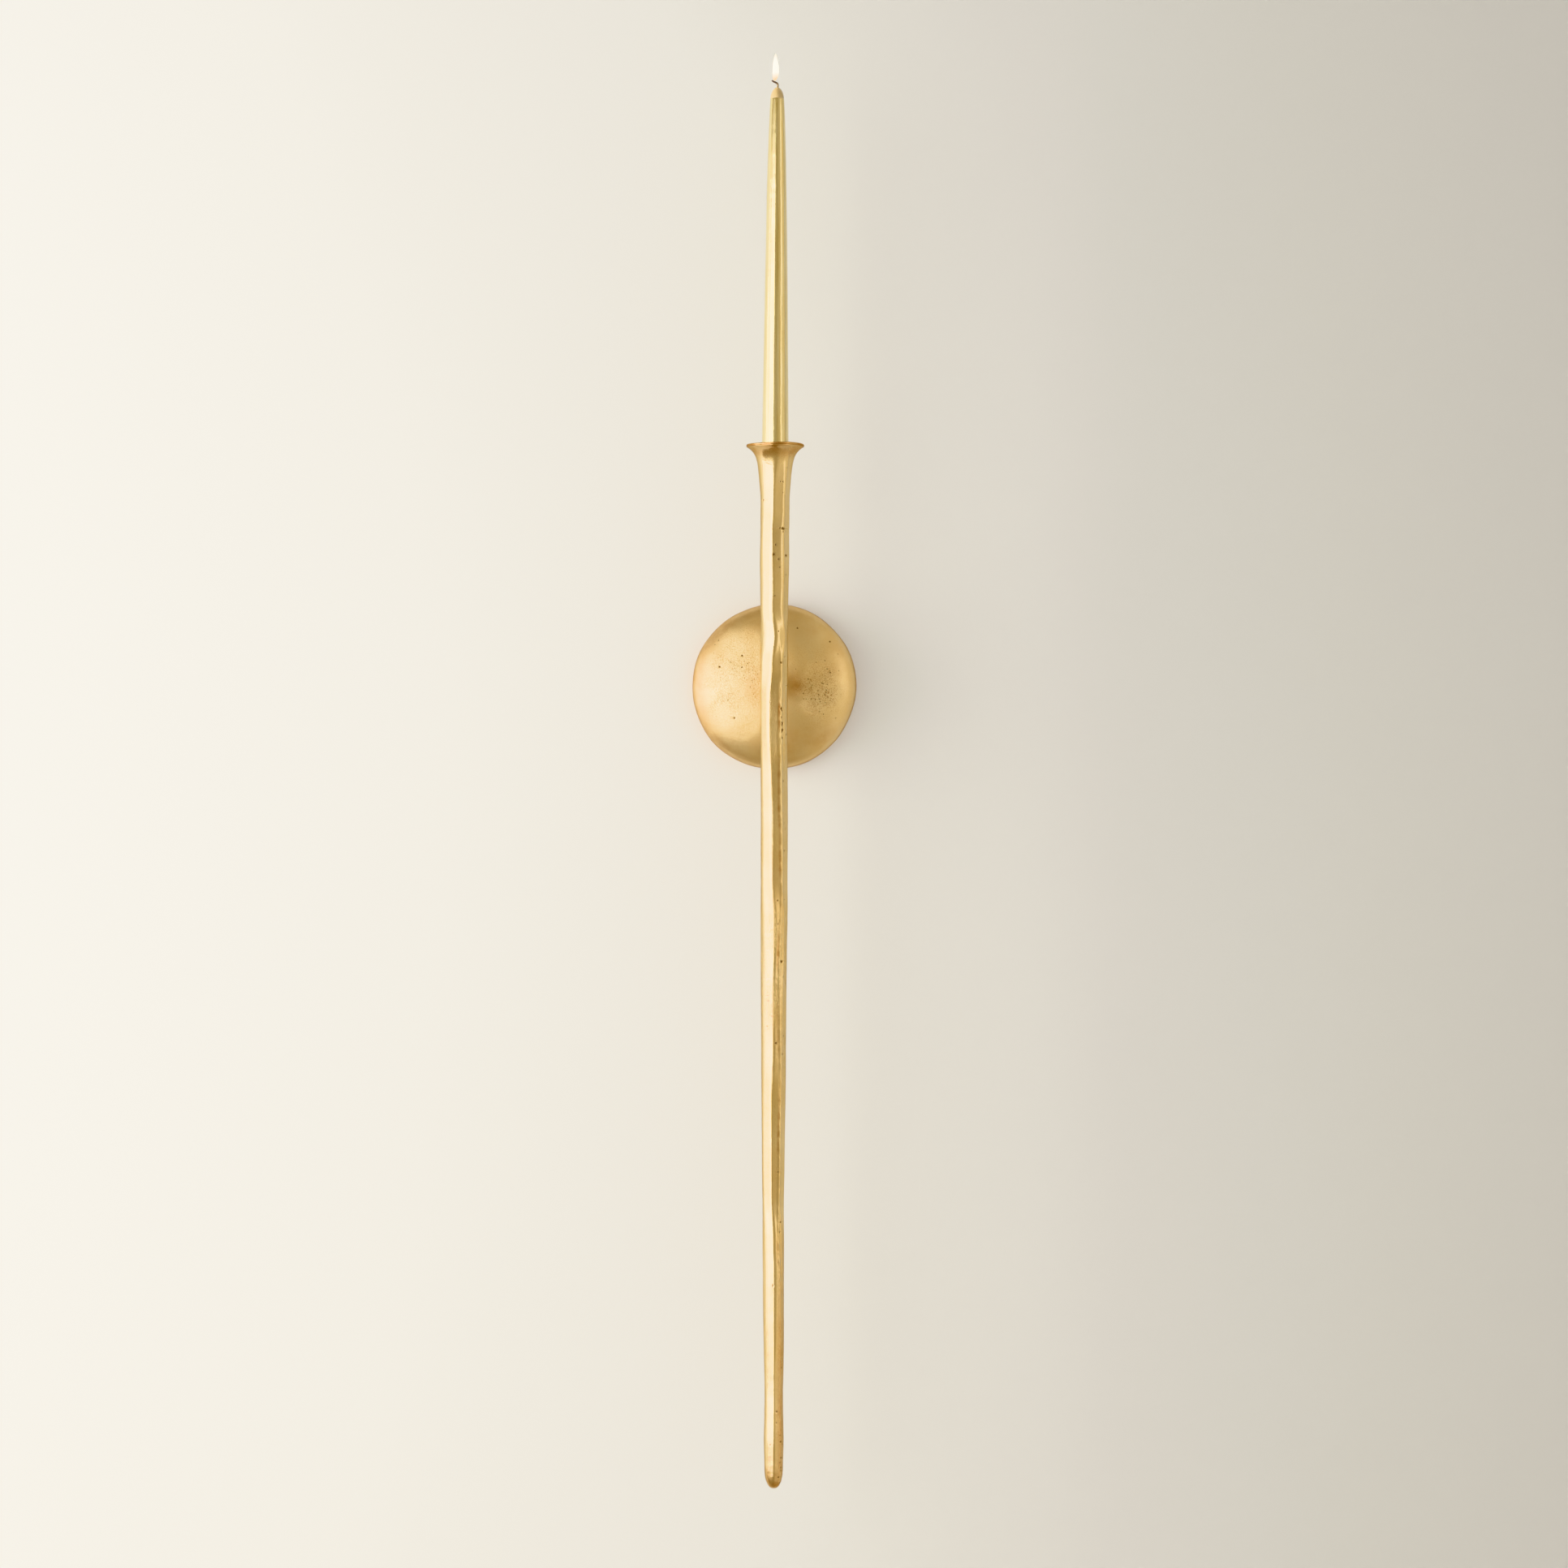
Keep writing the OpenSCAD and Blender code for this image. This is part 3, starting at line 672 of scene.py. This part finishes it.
def make_flame():
    """A still, slender flame that starts round the wick and ends in a fine point."""
    around, count = 48, 90
    angle = circle_angles(around)[None, :]
    u = np.linspace(0.004, 0.998, count)[:, None]
    shape = np.power(u, 0.55) * np.power(1 - u, 0.95) * 2.05
    radius = FLAME_R * np.minimum(shape, 1.2) * (1 + 0.02 * np.sin(2 * angle))
    foot_x = candle_x(WAX_TOP) - 0.0021
    drift = 0.0012 * u + 0.0004 * np.sin(u * 5)
    height = WICK_TOP - 0.0002 + FLAME_H * u
    rings = upright(radius, angle, height, foot_x + drift)
    return skin("flame_glow", rings, {"rise": u + np.zeros_like(angle)})


# ---------------------------------------------------------------- materials

def tree_of(name):
    """A new node material, its tree and its Principled shader."""
    material = bpy.data.materials.new(name)
    material.use_nodes = True
    tree = material.node_tree
    return material, tree, tree.nodes["Principled BSDF"]


def fill(tree, made, inputs):
    """Gives a node's sockets their values or links."""
    for key, value in inputs.items():
        if isinstance(value, bpy.types.NodeSocket):
            tree.links.new(value, made.inputs[key])
        else:
            made.inputs[key].default_value = value


def node(tree, kind, inputs=None, **settings):
    """Adds a node: settings are its properties, and inputs its sockets' values or links."""
    made = tree.nodes.new(kind)
    for key, value in settings.items():
        setattr(made, key, value)
    fill(tree, made, inputs or {})
    return made


def noise(tree, where, scale, detail=3, roughness=0.55, distortion=0.0):
    """Noise from about 0.3 to 0.7, at a scale per metre."""
    return node(tree, "ShaderNodeTexNoise",
                {"Vector": where, "Scale": scale, "Detail": detail, "Roughness": roughness,
                 "Distortion": distortion}).outputs["Fac"]


def ramp(tree, value, low, high, out_low=0.0, out_high=1.0):
    """Stretches a value from one range to another, and holds it there."""
    return node(tree, "ShaderNodeMapRange",
                {"Value": value, "From Min": low, "From Max": high, "To Min": out_low,
                 "To Max": out_high}).outputs["Result"]


def calc(tree, operation, a, b):
    """One step of arithmetic."""
    return node(tree, "ShaderNodeMath", {0: a, 1: b}, operation=operation).outputs[0]


def blend_colour(tree, share, a, b):
    """Colour a where share is 0 and b where it is 1."""
    return node(tree, "ShaderNodeMix", {0: share, 6: a, 7: b}, data_type="RGBA").outputs[2]


def attribute(tree, name):
    """A number stored on the mesh's points."""
    return node(tree, "ShaderNodeAttribute", attribute_name=name).outputs["Fac"]


def on_object(tree):
    """Places on the object, in metres."""
    return node(tree, "ShaderNodeTexCoord").outputs["Object"]


def stretched(tree, factors):
    """Places on the object, scaled apart along each axis."""
    return node(tree, "ShaderNodeMapping", {"Vector": on_object(tree), "Scale": factors}).outputs["Vector"]


# Brass: polished, deeper in tone, brown with tarnish and painted shade, at grazing angles, where the darker
# edge tint is painted shade, and in the pits
BRASS_LIGHT = (0.86, 0.68, 0.38, 1)
BRASS_DEEP = (0.82, 0.61, 0.29, 1)
BRASS_BROWN = (0.54, 0.28, 0.10, 1)
# Edge tint darkened as painted shade on the grazing edges.
BRASS_EDGE = (0.66, 0.58, 0.46, 1)
PIT_BROWN = (0.16, 0.075, 0.025, 1)


def brass(name, along, shine, lacquer=0.0):
    """Hand-finished cast brass: tone patches, rubbing marks, brown tarnish and painted shade, pits and a
    coarse casting skin.
    Rubbing marks are drawn out by along, shine is the roughness and lacquer a clear coat's share."""
    material, tree, shader = tree_of(name)
    place = on_object(tree)
    rubbed = stretched(tree, along)
    pit = ramp(tree, attribute(tree, "pit"), 0.15, 0.85)
    coarse = attribute(tree, "coarse")
    tone = ramp(tree, noise(tree, place, 38, 5, 0.6), 0.38, 0.70)
    streak = ramp(tree, noise(tree, rubbed, 420, 4, 0.6, 0.4), 0.45, 0.75)
    fine = noise(tree, place, 1500, 4, 0.65)
    colour = blend_colour(tree, calc(tree, "MULTIPLY", tone, 0.75), BRASS_LIGHT, BRASS_DEEP)
    colour = blend_colour(tree, calc(tree, "MULTIPLY", streak, 0.3), colour, BRASS_DEEP)
    specks = ramp(tree, noise(tree, place, 1400, 2, 0.6), 0.52, 0.60)
    gaps = calc(tree, "MULTIPLY", calc(tree, "MULTIPLY", specks, coarse), 0.9)
    colour = blend_colour(tree, gaps, colour, BRASS_BROWN)
    cloud = ramp(tree, noise(tree, place, 130, 4, 0.6), 0.3, 0.7, 0.6, 1.15)
    brown_age_and_shade = calc(tree, "MULTIPLY", attribute(tree, "age_and_shade"), cloud)
    colour = blend_colour(tree, brown_age_and_shade, colour, BRASS_BROWN)
    colour = blend_colour(tree, pit, colour, PIT_BROWN)
    rough = ramp(tree, fine, 0.3, 0.7, shine, shine + 0.08)
    rough = calc(tree, "ADD", rough, calc(tree, "MULTIPLY", tone, 0.05))
    rough = calc(tree, "ADD", rough, calc(tree, "MULTIPLY", pit, 0.3))
    rough = calc(tree, "ADD", rough, calc(tree, "MULTIPLY", brown_age_and_shade, 0.08))
    soft = calc(tree, "ADD", calc(tree, "MULTIPLY", noise(tree, place, 260, 4, 0.6), 0.5),
                calc(tree, "MULTIPLY", noise(tree, rubbed, 260, 3, 0.5), 0.5))
    bump = node(tree, "ShaderNodeBump", {"Strength": 0.25, "Distance": 0.0003, "Height": soft})
    skin_height = calc(tree, "ADD", noise(tree, place, 1100, 3, 0.6), calc(tree, "MULTIPLY", specks, -0.6))
    skin_bump = node(tree, "ShaderNodeBump",
                     {"Strength": calc(tree, "MULTIPLY", coarse, 0.9), "Distance": 0.0005,
                      "Height": skin_height, "Normal": bump.outputs["Normal"]})
    fill(tree, shader, {"Base Color": colour, "Metallic": 1.0, "Specular Tint": BRASS_EDGE,
                        "Roughness": rough, "Coat Weight": lacquer, "Coat Roughness": shine,
                        "Normal": skin_bump.outputs["Normal"]})
    return material


def plated_steel(name, light, dark, rough_low, rough_high):
    """Plated hardware: fine turning marks, cloudy plating and small dull spots."""
    material, tree, shader = tree_of(name)
    cloud = ramp(tree, noise(tree, on_object(tree), 160, 4, 0.6), 0.35, 0.7)
    colour = blend_colour(tree, cloud, light, dark)
    fine = noise(tree, stretched(tree, (1, 1, 0.15)), 2200, 3, 0.6)
    bump = node(tree, "ShaderNodeBump", {"Strength": 0.2, "Distance": 0.0001, "Height": fine})
    fill(tree, shader, {"Base Color": colour, "Metallic": 1.0, "Normal": bump.outputs["Normal"],
                        "Roughness": ramp(tree, fine, 0.3, 0.7, rough_low, rough_high)})
    return material


def candle_material():
    """Pearly gold lacquer over wax, and bare honey wax on the cone."""
    material, tree, shader = tree_of("candle_gold")
    place = on_object(tree)
    bare = attribute(tree, "bare")
    streak = ramp(tree, noise(tree, stretched(tree, (1, 1, 0.04)), 520, 4, 0.6), 0.35, 0.7)
    coat = blend_colour(tree, streak, (0.86, 0.74, 0.42, 1), (0.75, 0.58, 0.23, 1))
    wax = blend_colour(tree, noise(tree, place, 500, 3), (0.80, 0.60, 0.30, 1), (0.70, 0.48, 0.20, 1))
    flakes = noise(tree, place, 3800, 2, 0.6)
    rough = calc(tree, "ADD", ramp(tree, flakes, 0.3, 0.7, 0.10, 0.18), calc(tree, "MULTIPLY", bare, 0.18))
    bump = node(tree, "ShaderNodeBump", {"Strength": 0.1, "Distance": 0.00008, "Height": flakes})
    fill(tree, shader, {"Base Color": blend_colour(tree, bare, coat, wax), "Roughness": rough,
                        "Metallic": ramp(tree, bare, 0, 1, 0.9, 0.0), "Coat Weight": 1.0,
                        "Coat Roughness": 0.15, "Normal": bump.outputs["Normal"]})
    return material


def wick_material():
    """Cotton that turns from waxy cream to char."""
    material, tree, shader = tree_of("wick_cotton")
    fibre = noise(tree, on_object(tree), 4000, 3)
    clean = blend_colour(tree, fibre, (0.55, 0.42, 0.24, 1), (0.38, 0.27, 0.14, 1))
    burnt = blend_colour(tree, fibre, (0.05, 0.03, 0.02, 1), (0.16, 0.09, 0.05, 1))
    bump = node(tree, "ShaderNodeBump", {"Strength": 0.4, "Distance": 0.0001, "Height": fibre})
    fill(tree, shader, {"Base Color": blend_colour(tree, attribute(tree, "char"), clean, burnt),
                        "Roughness": 0.85, "Normal": bump.outputs["Normal"]})
    return material


def flame_material():
    """A glow that is amber at its foot and nearly white above."""
    material, tree, shader = tree_of("flame_glow")
    rise = attribute(tree, "rise")
    low = blend_colour(tree, ramp(tree, rise, 0.02, 0.30), (1.0, 0.62, 0.24, 1), (1.0, 0.95, 0.80, 1))
    glow = blend_colour(tree, ramp(tree, rise, 0.75, 1.0), low, (1.0, 0.88, 0.62, 1))
    flicker = noise(tree, on_object(tree), 160, 2)
    brighter = ramp(tree, rise, 0.0, 0.25, 1.6, 4.5)
    strength = calc(tree, "MULTIPLY", brighter, ramp(tree, flicker, 0.3, 0.7, 0.92, 1.08))
    fill(tree, shader, {"Emission Color": glow, "Base Color": glow, "Emission Strength": strength,
                        "Roughness": 1.0})
    return material


def stage_material(name, colour):
    """Matt paint that only shows from the room's side, so that the object's back can be seen too."""
    material, tree, shader = tree_of(name)
    cloud = noise(tree, on_object(tree), 3, 3, 0.5)
    darker = tuple(c * 0.985 for c in colour[:3]) + (1,)
    fill(tree, shader, {"Base Color": blend_colour(tree, cloud, colour, darker), "Roughness": 0.9,
                        "Specular IOR Level": 0.15})
    behind = node(tree, "ShaderNodeNewGeometry").outputs["Backfacing"]
    clear = node(tree, "ShaderNodeBsdfTransparent").outputs[0]
    mixed = node(tree, "ShaderNodeMixShader", {0: behind, 1: shader.outputs[0], 2: clear})
    tree.links.new(mixed.outputs[0], tree.nodes["Material Output"].inputs["Surface"])
    return material


# ---------------------------------------------------------------- stage, lights and camera

WALL_PAINT, FLOOR_PAINT = (0.75, 0.728, 0.68, 1), (0.64, 0.61, 0.56, 1)
# The world's colour to the camera, on matt surfaces, and in metal ahead and to the right
BACKDROP, SOFT_LIGHT = (0.80, 0.78, 0.73, 1), (0.505, 0.49, 0.45, 1)
ROOM_FRONT, ROOM_RIGHT = (0.47, 0.40, 0.27, 1), (0.85, 0.74, 0.56, 1)
# How far the wall stands behind the backplate, and its half width and its top
WALL_GAP, WALL_HALF, WALL_HIGH = 0.0003, 2.2, 2.0
FLOOR_Z, COVE_R, FLOOR_OUT = STEM_TIP - 0.8, 0.3, 5.0
# The wall's opening, which the dome covers
PEEP_R = DOME_R - 0.006
CAMERA_AWAY, CAMERA_RIGHT, CAMERA_HEIGHT = 3.0, 0.008, -0.08
SENSOR, LENS = 36.0, 86.0
WHITE, WARM = (1.0, 1.0, 1.0), (1.0, 0.95, 0.86)
# The point that every light faces, the place of the lights that graze the wall, and the usual height
LIT_POINT, BESIDE_WALL, LIGHT_Z = (0, -0.05, -0.1), (-1.7, -0.34, -0.05), -0.05


def flat_piece(name, points, faces):
    """A piece of the stage from its points and faces."""
    mesh = bpy.data.meshes.new(name)
    mesh.from_pydata(points, [], faces)
    obj = bpy.data.objects.new(name, mesh)
    bpy.context.scene.collection.objects.link(obj)
    return obj


def make_wall():
    """The wall, with a round opening behind the hollow dome."""
    foot = FLOOR_Z + COVE_R
    corners = [math.atan2(z, x) for x in (-WALL_HALF, WALL_HALF) for z in (foot, WALL_HIGH)]
    headings = sorted(list(np.linspace(-math.pi, math.pi, 96, endpoint=False)) + corners)
    points, faces = [], []
    for heading in headings:
        right, up = math.cos(heading), math.sin(heading)
        sideways = WALL_HALF / max(abs(right), 1e-9)
        upwards = (WALL_HIGH if up > 0 else -foot) / max(abs(up), 1e-9)
        reach = min(sideways, upwards)
        points += [(PEEP_R * right, WALL_GAP, PEEP_R * up), (reach * right, WALL_GAP, reach * up)]
    for k in range(len(headings)):
        a, b = 2 * k, 2 * ((k + 1) % len(headings))
        faces.append((a, a + 1, b + 1, b))
    return flat_piece("studio_wall", points, faces)


def make_floor():
    """The cove at the wall's foot and the floor in front of it, which don't show in the metal."""
    outline = [(WALL_GAP - COVE_R * (1 - math.cos(turn)), FLOOR_Z + COVE_R * (1 - math.sin(turn)))
               for turn in np.linspace(0, math.pi / 2, 17)]
    outline.append((WALL_GAP - FLOOR_OUT, FLOOR_Z))
    points = [(x, y, z) for y, z in outline for x in (-WALL_HALF, WALL_HALF)]
    faces = [(2 * k, 2 * k + 2, 2 * k + 3, 2 * k + 1) for k in range(len(outline) - 1)]
    floor = flat_piece("studio_floor", points, faces)
    floor.visible_glossy = False
    return floor


def area_light(name, shape, where, wide, high, brightness, colour, shows_in, shadow=True):
    """A soft light that faces the object. It either lights matt surfaces or shows in the metal."""
    light = bpy.data.lights.new(name, "AREA")
    light.shape, light.size, light.size_y = shape, wide, high
    light.energy, light.color = brightness * math.pi * wide * high, colour
    light.use_shadow = shadow
    obj = bpy.data.objects.new(name, light)
    obj.location = where
    direction = (np.array(LIT_POINT) - np.array(where)).tolist()
    obj.rotation_euler = Vector(direction).to_track_quat("-Z", "Y").to_euler()
    obj.visible_diffuse = shows_in == "matt"
    obj.visible_glossy = shows_in == "metal"
    bpy.context.scene.collection.objects.link(obj)


def from_heading(degrees, away, height):
    """A place at a heading to the right of the camera's side, seen from the stem."""
    turn = math.radians(degrees)
    return away * math.sin(turn), STEM_Y - away * math.cos(turn), height


def make_camera():
    """Level and square to the wall."""
    data = bpy.data.cameras.new("camera")
    data.sensor_width, data.lens = SENSOR, LENS
    obj = bpy.data.objects.new("camera", data)
    obj.location = (CAMERA_RIGHT, STEM_Y - CAMERA_AWAY, CAMERA_HEIGHT)
    obj.rotation_euler = (math.pi / 2, 0, 0)
    bpy.context.scene.collection.objects.link(obj)
    bpy.context.scene.camera = obj


def make_world():
    """Pale to the camera and even on matt surfaces. In metal it shows as a dim, warm room."""
    world = bpy.data.worlds.new("world")
    bpy.context.scene.world = world
    world.use_nodes = True
    tree = world.node_tree
    heading = node(tree, "ShaderNodeTexCoord").outputs["Generated"]
    sideways = node(tree, "ShaderNodeSeparateXYZ", {0: heading}).outputs["X"]
    room = blend_colour(tree, ramp(tree, sideways, 0.15, 0.85), ROOM_FRONT, ROOM_RIGHT)
    shown = node(tree, "ShaderNodeBackground", {"Color": BACKDROP, "Strength": 1.0})
    soft = node(tree, "ShaderNodeBackground", {"Color": SOFT_LIGHT, "Strength": 1.0})
    mirrored = node(tree, "ShaderNodeBackground", {"Color": room, "Strength": 1.0})
    path_kind = node(tree, "ShaderNodeLightPath").outputs
    lit = node(tree, "ShaderNodeMixShader", {0: path_kind["Is Glossy Ray"], 1: soft.outputs[0],
                                             2: mirrored.outputs[0]})
    both = node(tree, "ShaderNodeMixShader", {0: path_kind["Is Camera Ray"], 1: lit.outputs[0],
                                              2: shown.outputs[0]})
    tree.links.new(both.outputs[0], tree.nodes["World Output"].inputs["Surface"])


# ---------------------------------------------------------------- putting it together

make_camera()
make_world()
bpy.context.scene.view_settings.view_transform = "Khronos PBR Neutral"

for piece, paint in ((make_wall(), WALL_PAINT), (make_floor(), FLOOR_PAINT)):
    piece.data.materials.append(stage_material(piece.name, paint))

# Width, height and brightness come after each light's place.
# Two of the matt lights cast no shadow, so that the dome's shadow on the wall stays faint.
area_light("wall_wash", "ELLIPSE", BESIDE_WALL, 0.64, 2.2, 7.0, WHITE, "matt", shadow=False)
area_light("wall_graze", "ELLIPSE", BESIDE_WALL, 0.64, 2.2, 6.0, WHITE, "matt")
area_light("window", "ELLIPSE", (-1.6, -0.95, LIGHT_Z), 1.8, 2.2, 2.5, WHITE, "matt", shadow=False)
area_light("left_panel", "RECTANGLE", from_heading(-39, 6.0, LIGHT_Z), 4.4, 3.4, 6.8, WHITE, "metal")
area_light("side_panel", "RECTANGLE", from_heading(-76, 4.0, LIGHT_Z), 2.0, 2.4, 4.6, WHITE, "metal")
area_light("right_strip", "RECTANGLE", from_heading(54, 2.8, 0.2), 0.45, 1.9, 1.4, WARM, "metal")

# Rubbing marks run along the stem and the cup, and every way on the plate
stem_brass = brass("stem_brass", (1, 1, 0.06), 0.15)
cup_brass = brass("cup_brass", (1, 1, 0.10), 0.16)
plate_brass = brass("plate_brass", (1, 1, 1), 0.32, 0.4)
zinc = plated_steel("zinc_plate", (0.62, 0.63, 0.64, 1), (0.44, 0.45, 0.47, 1), 0.28, 0.46)
black = plated_steel("black_oxide", (0.075, 0.075, 0.08, 1), (0.035, 0.035, 0.04, 1), 0.35, 0.55)

# Made pieces: (piece, material, body, CAD node that it stands for, material slot)
PIECES = [
    (make_stem(), stem_brass, "sconce", "stem", "cast_brass"),
    (make_cup(), cup_brass, "sconce", "candle_cup", "cast_brass"),
    (make_dome(), plate_brass, "sconce", "backplate_dome", "backplate_brass"),
    (make_post(), plate_brass, "sconce", "standoff_post", "backplate_brass"),
    (make_candle(), candle_material(), "candle", "candle_wax", "candle_gold"),
    (make_wick(), wick_material(), "candle", "candle_wick", "wick"),
    (make_flame(), flame_material(), "candle", None, "flame"),
]
for piece, material, body, stands_for, slot in PIECES:
    piece.data.materials.append(material)
    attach(piece, body)
    if stands_for:
        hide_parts(stands_for)

# Hardware that keeps its CAD shape
HARDWARE = {"cup_stud": zinc, "post_bolt": zinc, "flat_washer": zinc, "wall_bracket": zinc,
            "spring_washer": black, "locating_pins": black, "lock_screws": black}
for name, material in HARDWARE.items():
    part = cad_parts[name]
    part.data.materials.clear()
    part.data.materials.append(material)
